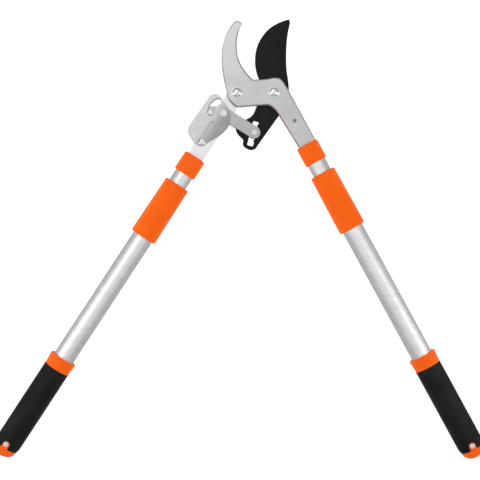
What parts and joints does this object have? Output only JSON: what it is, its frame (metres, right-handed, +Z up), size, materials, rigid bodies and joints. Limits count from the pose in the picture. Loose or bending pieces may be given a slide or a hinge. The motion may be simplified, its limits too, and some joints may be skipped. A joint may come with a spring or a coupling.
{
  "type": "ratchet bypass loppers",
  "caption": "Telescopic two-handed loppers: a hooked counter-blade, a black curved blade driven by a ratchet link, and silver tube handles with orange locks and black grips.",
  "frame": {"origin": "middle of the footprint's bounding box, on the surface the loppers lie on", "axes": "+Z up from the surface, towards the side with the pivot bolts' domed heads; +Y towards the jaws; +X towards the handle forged with the hook"},
  "size_m": [0.6324, 0.567, 0.0361],
  "materials": {
    "forged_steel": "satin, polished bevels",
    "arm_steel": "satin",
    "coated_blade": "black non-stick coating",
    "link_steel": "satin",
    "pressed_steel": "bright nickel plate",
    "bright_fastener": "zinc plate",
    "spring_wire": "bright wire",
    "silver_tube": "satin anodised",
    "orange_plastic": "moulded",
    "black_grip": "matt",
    "inner_plastic": "moulded"
  },
  "bodies": {
    "hook_frame": {"hook_plate": "forged_steel", "stop_pin": "bright_fastener", "arm_bolt": "bright_fastener", "arm_bolt_washer": "bright_fastener", "arm_bolt_nut": "bright_fastener", "blade_bolt": "bright_fastener", "blade_bolt_washer": "bright_fastener", "blade_bolt_nut": "bright_fastener", "right_ferrule": "orange_plastic", "right_tang_rivet": "bright_fastener", "right_inner_tube": "silver_tube", "right_guide_bush": "inner_plastic"},
    "blade": {"blade": "coated_blade"},
    "left_handle": {"left_arm": "arm_steel", "housing_front": "pressed_steel", "housing_rear": "pressed_steel", "link_rivet": "bright_fastener", "anchor_rivet": "bright_fastener", "housing_screw": "bright_fastener", "housing_nut": "bright_fastener", "ratchet_spring": "spring_wire", "left_ferrule": "orange_plastic", "left_tang_rivet": "bright_fastener", "left_inner_tube": "silver_tube", "left_guide_bush": "inner_plastic"},
    "link": {"link_front": "link_steel", "link_rear": "link_steel", "ratchet_pin": "bright_fastener", "spring_post": "bright_fastener", "tail_screw": "bright_fastener"},
    "left_extension": {"left_outer_tube": "silver_tube", "left_lock_collet": "inner_plastic", "left_grip_ring": "orange_plastic", "left_grip": "black_grip", "left_end_cap": "orange_plastic", "left_cap_screw": "bright_fastener"},
    "left_lock": {"left_lock_sleeve": "orange_plastic"},
    "right_extension": {"right_outer_tube": "silver_tube", "right_lock_collet": "inner_plastic", "right_grip_ring": "orange_plastic", "right_grip": "black_grip", "right_end_cap": "orange_plastic", "right_cap_screw": "bright_fastener"},
    "right_lock": {"right_lock_sleeve": "orange_plastic"}
  },
  "joints": [
    {"name": "handle_pivot", "type": "hinge", "parent": "hook_frame", "child": "left_handle", "pos_m": [-0.0026, 0.18844, 0.01803], "axis": [0, 0, 1], "range_deg": [0, 52]},
    {"name": "blade_pivot", "type": "hinge", "parent": "hook_frame", "child": "blade", "pos_m": [0.0449, 0.18894, 0.01803], "axis": [0, 0, 1], "range_deg": [0, 35.5]},
    {"name": "link_pivot", "type": "hinge", "parent": "left_handle", "child": "link", "pos_m": [-0.01991, 0.162, 0.01803], "axis": [0, 0, 1], "range_deg": [-46, 0], "deforming": ["ratchet_spring"]},
    {"name": "left_extension_slide", "type": "slide", "parent": "left_handle", "child": "left_extension", "axis": [-0.5476, -0.8368, 0], "range_m": [0, 0.3]},
    {"name": "left_lock_twist", "type": "hinge", "parent": "left_extension", "child": "left_lock", "pos_m": [-0.09667, 0.04469, 0.01803], "axis": [-0.5476, -0.8368, 0], "range_deg": [0, 90]},
    {"name": "right_extension_slide", "type": "slide", "parent": "hook_frame", "child": "right_extension", "axis": [0.4787, -0.878, 0], "range_m": [0, 0.3]},
    {"name": "right_lock_twist", "type": "hinge", "parent": "right_extension", "child": "right_lock", "pos_m": [0.12222, 0.05798, 0.01803], "axis": [0.4787, -0.878, 0], "range_deg": [0, 90]}
  ],
  "couplings": [
    {"joint": "blade_pivot", "follows": "handle_pivot", "ratio": 0.68},
    {"joint": "link_pivot", "follows": "handle_pivot", "ratio": -0.88}
  ]
}
